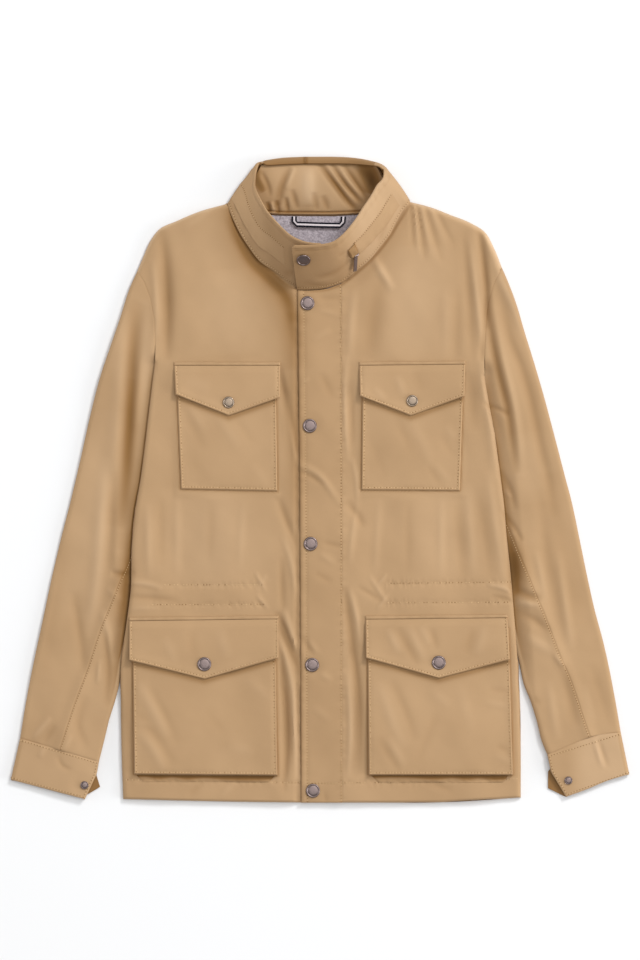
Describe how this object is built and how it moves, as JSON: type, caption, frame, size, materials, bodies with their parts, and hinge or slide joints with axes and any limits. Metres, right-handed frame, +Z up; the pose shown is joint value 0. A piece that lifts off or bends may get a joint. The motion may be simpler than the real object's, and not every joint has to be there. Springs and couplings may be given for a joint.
{
  "type": "field jacket",
  "caption": "Tan field jacket laid flat and closed, with a stand-up collar, a snap placket, four flap pockets, long sleeves with snapped cuffs and a hanger loop.",
  "frame": {"origin": "middle of the laid garment on the surface that it lies on", "axes": "+Y from the hem to the collar, +Z up from the surface, +X to the right as seen from above"},
  "size_m": [0.792, 0.827, 0.0604],
  "materials": {
    "shell": "smooth tan twill",
    "jersey": "grey melange jersey",
    "ribbon": "grosgrain ribbon",
    "snap_metal": "satin gunmetal"
  },
  "bodies": {
    "jacket": {"back": "shell", "front_left": "shell", "front_right": "shell", "placket": "shell", "sleeve_top_left": "shell", "sleeve_top_right": "shell", "sleeve_under_left": "shell", "sleeve_under_right": "shell", "cuff_left": "shell", "cuff_right": "shell", "pocket_chest_left": "shell", "pocket_chest_right": "shell", "pocket_lower_left": "shell", "pocket_lower_right": "shell", "flap_chest_left": "shell", "flap_chest_right": "shell", "flap_lower_left": "shell", "flap_lower_right": "shell", "welt_chest_left": "shell", "welt_chest_right": "shell", "welt_lower_left": "shell", "welt_lower_right": "shell", "gusset_lower_left": "shell", "gusset_lower_right": "shell", "collar_outer_left": "shell", "collar_outer_right": "shell", "collar_inner": "shell", "zip_welt_left": "shell", "zip_welt_right": "shell", "neck_lining": "jersey", "hanger_loop": "ribbon", "snap_placket_1": "snap_metal", "snap_placket_2": "snap_metal", "snap_placket_3": "snap_metal", "snap_placket_4": "snap_metal", "snap_placket_5": "snap_metal", "snap_chest_left": "snap_metal", "snap_chest_right": "snap_metal", "snap_lower_left": "snap_metal", "snap_lower_right": "snap_metal", "snap_cuff_left": "snap_metal", "snap_cuff_right": "snap_metal", "snap_collar": "snap_metal", "zip_slider": "snap_metal"},
    "zip_pull": {"zip_pull": "snap_metal"}
  },
  "joints": [
    {"name": "zip_pull_hinge", "type": "hinge", "parent": "jacket", "child": "zip_pull", "pos_m": [0.04601, 0.28656, 0.03366], "axis": [-0.8523, -0.2577, 0.4551], "range_deg": [0, 105]}
  ]
}
